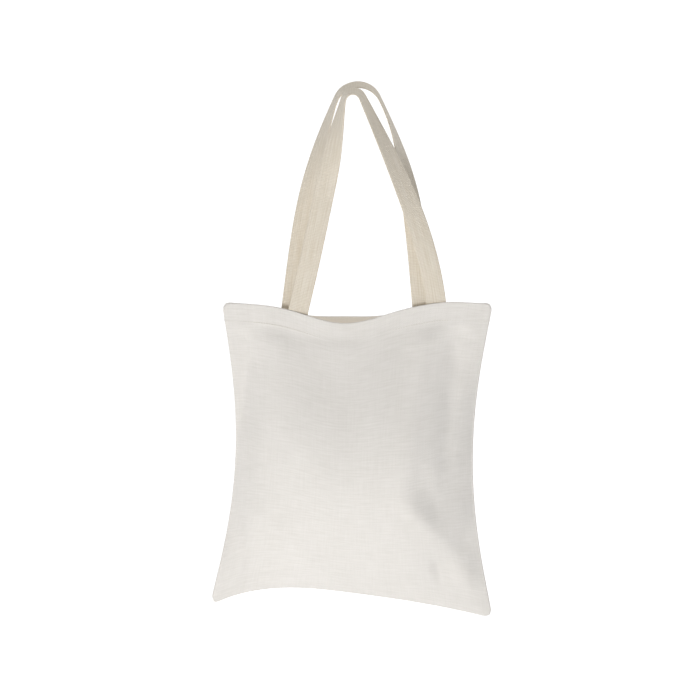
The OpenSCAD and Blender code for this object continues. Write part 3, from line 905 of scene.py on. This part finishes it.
def repeatAlong(tree, given, shape):
    # Puts the shape along the path: its X follows the path and its Z the outward direction
    curve = addNode(tree, "GeometryNodeMeshToCurve", {0: given.outputs["Geometry"]})
    spaced = addNode(tree, "GeometryNodeResampleCurve", {
        "Curve": curve.outputs[0], "Length": given.outputs["Spacing"]}, mode="LENGTH")
    tangent = addNode(tree, "GeometryNodeInputTangent")
    outward = addNode(tree, "GeometryNodeInputNamedAttribute", {"Name": "outward"}, data_type="FLOAT_VECTOR")
    along = addNode(tree, "FunctionNodeAlignRotationToVector", {"Vector": tangent.outputs[0]}, axis="X")
    facing = addNode(tree, "FunctionNodeAlignRotationToVector", {
        "Rotation": along.outputs[0], "Vector": outward.outputs[0]}, axis="Z", pivot_axis="X")
    placed = addNode(tree, "GeometryNodeInstanceOnPoints", {
        "Points": spaced.outputs[0], "Instance": shape, "Rotation": facing.outputs[0]})
    real = addNode(tree, "GeometryNodeRealizeInstances", {0: placed.outputs[0]})
    smoothed = addNode(tree, "GeometryNodeSetShadeSmooth", {0: real.outputs[0]})
    dressed = addNode(tree, "GeometryNodeSetMaterial", {
        0: smoothed.outputs[0], "Material": given.outputs["Material"]})
    addNode(tree, "NodeGroupOutput", {"Geometry": dressed.outputs[0]})


def stitchTree():
    # One stitch is a short arc of thread that dips into the cloth at both ends
    tree, given = newTree("stitchRow", {"Spacing": sewing["stitch"], "Length": 0.8 * sewing["stitch"],
                                        "Thread": sewing["thread"]})
    reach = addNode(tree, "ShaderNodeMath", {0: given.outputs["Length"], 1: 0.5}, operation="MULTIPLY")
    back = addNode(tree, "ShaderNodeMath", {0: reach.outputs[0], 1: -1.0}, operation="MULTIPLY")
    dip = addNode(tree, "ShaderNodeMath", {0: given.outputs["Thread"], 1: -1.2}, operation="MULTIPLY")
    lift = addNode(tree, "ShaderNodeMath", {0: given.outputs["Thread"], 1: 2.4}, operation="MULTIPLY")
    start = addNode(tree, "ShaderNodeCombineXYZ", {"X": back.outputs[0], "Z": dip.outputs[0]})
    middle = addNode(tree, "ShaderNodeCombineXYZ", {"Z": lift.outputs[0]})
    end = addNode(tree, "ShaderNodeCombineXYZ", {"X": reach.outputs[0], "Z": dip.outputs[0]})
    arc = addNode(tree, "GeometryNodeCurveQuadraticBezier", {
        "Resolution": 6, "Start": start.outputs[0], "Middle": middle.outputs[0], "End": end.outputs[0]})
    profile = addNode(tree, "GeometryNodeCurvePrimitiveCircle", {
        "Resolution": 6, "Radius": given.outputs["Thread"]})
    shape = addNode(tree, "GeometryNodeCurveToMesh", {
        "Curve": arc.outputs[0], "Profile Curve": profile.outputs[0], "Fill Caps": True})
    repeatAlong(tree, given, shape.outputs[0])
    return tree


def overlockTree():
    # One turn of overlocking is a slanted ring of thread round the raw edges
    tree, given = newTree("overlockEdge", {
        "Spacing": sewing["overlockPitch"], "Width": sewing["overlockWidth"],
        "Thick": sewing["overlockThick"], "Thread": sewing["overlockThread"]})
    ring = addNode(tree, "GeometryNodeCurvePrimitiveCircle", {"Resolution": 14, "Radius": 0.5})
    size = addNode(tree, "ShaderNodeCombineXYZ", {
        "X": given.outputs["Thick"], "Y": given.outputs["Width"], "Z": 1.0})
    flat = addNode(tree, "GeometryNodeTransform", {"Geometry": ring.outputs[0], "Scale": size.outputs[0]})
    # The ring's long way runs inwards from the edge, its short way through the layers
    stood = addNode(tree, "GeometryNodeTransform", {
        "Geometry": flat.outputs[0],
        "Rotation": (math.radians(90), 0, math.radians(90 - sewing["overlockSlant"]))})
    turned = addNode(tree, "GeometryNodeTransform", {
        "Geometry": stood.outputs[0], "Rotation": (math.radians(90), 0, 0)})
    profile = addNode(tree, "GeometryNodeCurvePrimitiveCircle", {
        "Resolution": 5, "Radius": given.outputs["Thread"]})
    shape = addNode(tree, "GeometryNodeCurveToMesh", {
        "Curve": turned.outputs[0], "Profile Curve": profile.outputs[0]})
    repeatAlong(tree, given, shape.outputs[0])
    return tree


def threadRow(name, tree, paths, material, **numbers):
    # paths are (points, outward) pairs, which become one plain mesh
    points, edges, outward = [], [], []
    for line, out in paths:
        first = sum(len(p) for p in points)
        points.append(line)
        outward.append(np.broadcast_to(np.asarray(out, float), line.shape))
        edges += [(first + i, first + i + 1) for i in range(len(line) - 1)]
    mesh = bpy.data.meshes.new(name + "Path")
    mesh.from_pydata([tuple(p) for p in np.concatenate(points)], edges, [])
    mesh.attributes.new("outward", "FLOAT_VECTOR", "POINT").data.foreach_set(
        "vector", np.concatenate(outward).astype(np.float32).ravel())
    path = bpy.data.objects.new(name + "Path", mesh)
    scene.collection.objects.link(path)
    rows = path.modifiers.new("rows", "NODES")
    rows.node_group = tree
    for item in tree.interface.items_tree:
        if item.in_out == "INPUT" and item.name in numbers:
            rows[item.identifier] = numbers[item.name]
        if item.in_out == "INPUT" and item.name == "Material":
            rows[item.identifier] = material
    plain = bpy.data.meshes.new_from_object(path.evaluated_get(bpy.context.evaluated_depsgraph_get()))
    plain.name = name
    bpy.data.objects.remove(path)
    piece = bpy.data.objects.new(name, plain)
    scene.collection.objects.link(piece)
    return piece


def onPanel(side, lift, x, below, depth):
    # Points of a panel's layers, x from the hanging point and below the rim
    x, below = np.broadcast_arrays(np.asarray(x, float), np.asarray(below, float))
    s = sAt(x, 1.0)
    for _ in range(3):
        s = sAt(x, levelAt(s, below, side))
    return place(s, levelAt(s, below, side), depth, side, folds=lift)


def hemRows(side, lift):
    # The hem's stitches show inside the bag and, faintly, outside
    x = np.linspace(middleX(1.0) - halfWidth(1.0) + 4 * mm, middleX(1.0) + halfWidth(1.0) - 4 * mm, 260)
    outside = onPanel(side, lift, x, sewing["hemInset"], 0.0)
    inside = onPanel(side, lift, x, sewing["hemInset"], 3.0 * bag["clothThick"])
    return [(outside, (0, side, 0)), (inside, (0, -side, 0))]


def boxRows(side, lift, footX):
    # A box of stitches round the webbing's sewn end, on its inner face
    top = sewing["boxMargin"]
    a, low = webbing["width"] / 2 - top, bag["hemHeight"] - top
    corners = [(-a, top), (a, top), (a, low), (-a, low), (-a, top)]
    depth = bag["webbingDepth"] + webbing["thick"] / 2 + 0.05 * mm
    rows = []
    for p, q in zip(corners[:-1], corners[1:]):
        k = np.linspace(0, 1, 12)
        points = onPanel(side, lift, footX + mix(p[0], q[0], k), mix(p[1], q[1], k), depth)
        rows.append((points, (0, -side, 0)))
    return rows


settledFront = settledFace("frontDrape", frontPanelShape, -1)
settledBack = settledFace("backDrape", backPanelShape, 1)
frontPanel = makePanel("frontPanel", frontPanelShape, -1, settledFront, canvas, glowingCanvasInside)
backPanel = makePanel("backPanel", backPanelShape, 1, settledBack, canvas, glowingCanvasInside)
print("panels are made")
frontHandle = makeHandle("frontHandle", frontHandleShape, cottonWebbing)
backHandle = makeHandle("backHandle", backHandleShape, cottonWebbing)
print("handles are made")

stitches, overlocking = stitchTree(), overlockTree()
sewn = []
gap = bag["clothThick"] + sewing["layerGap"] / 2
for name, path in (("left", lambda inset: sidePath(-1, inset, "left_seam")),
                   ("right", lambda inset: sidePath(1, inset, "right_seam")),
                   ("bottom", lambda inset: footPath(inset, "bottom_seam"))):
    allowance = makeAllowance(name + "Seam", path, canvas)
    line = path(sewing["seamInset"])
    both = [(line + np.array([0, layer * gap, 0]), (0, layer, 0)) for layer in (-1, 1)]
    row = threadRow(name + "SeamStitches", stitches, both, thread)
    edge = path(bag["seamWidth"] - sewing["overlockWidth"] / 2 + 0.4 * mm)
    lock = threadRow(name + "Overlock", overlocking, [(edge, (0, -1, 0))], thread)
    sewn += [(allowance, name + "_seam", "canvas"), (row, name + "_seam_stitching", "thread"),
             (lock, name + "_overlock", "thread")]
for side, label, shape, handle in ((-1, "front", frontPanelShape, frontHandleShape),
                                   (1, "back", backPanelShape, backHandleShape)):
    lift = foldField(shape)
    sewn.append((threadRow(label + "HemStitches", stitches, hemRows(side, lift), thread),
                 label + "_hem_stitching", "thread"))
    for footX, end in zip(handle["feet"], ("left", "right")):
        row = threadRow(label + end.capitalize() + "BoxStitches", stitches, boxRows(side, lift, footX),
                        thread, Spacing=sewing["boxStitch"], Length=sewing["boxLength"])
        sewn.append((row, label + "_" + end + "_box_stitching", "thread"))
print("seams and stitches are made")


# ---- What each piece stands for, and the body that the panels and the sewing ride on

for piece, panel, hem in ((frontPanel, "front_panel", "front_hem"), (backPanel, "back_panel", "back_hem")):
    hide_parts(panel, hem)
    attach(piece, "bag")

for piece, node, slot in sewn:
    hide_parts(node)
    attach(piece, "bag")

for piece, name, joint, slope in ((frontHandle, "front", frame["joints"][0], 0.082),
                                  (backHandle, "back", frame["joints"][1], 0.059)):
    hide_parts(name + "_handle", name + "_left_handle_end", name + "_right_handle_end")
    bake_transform(piece)
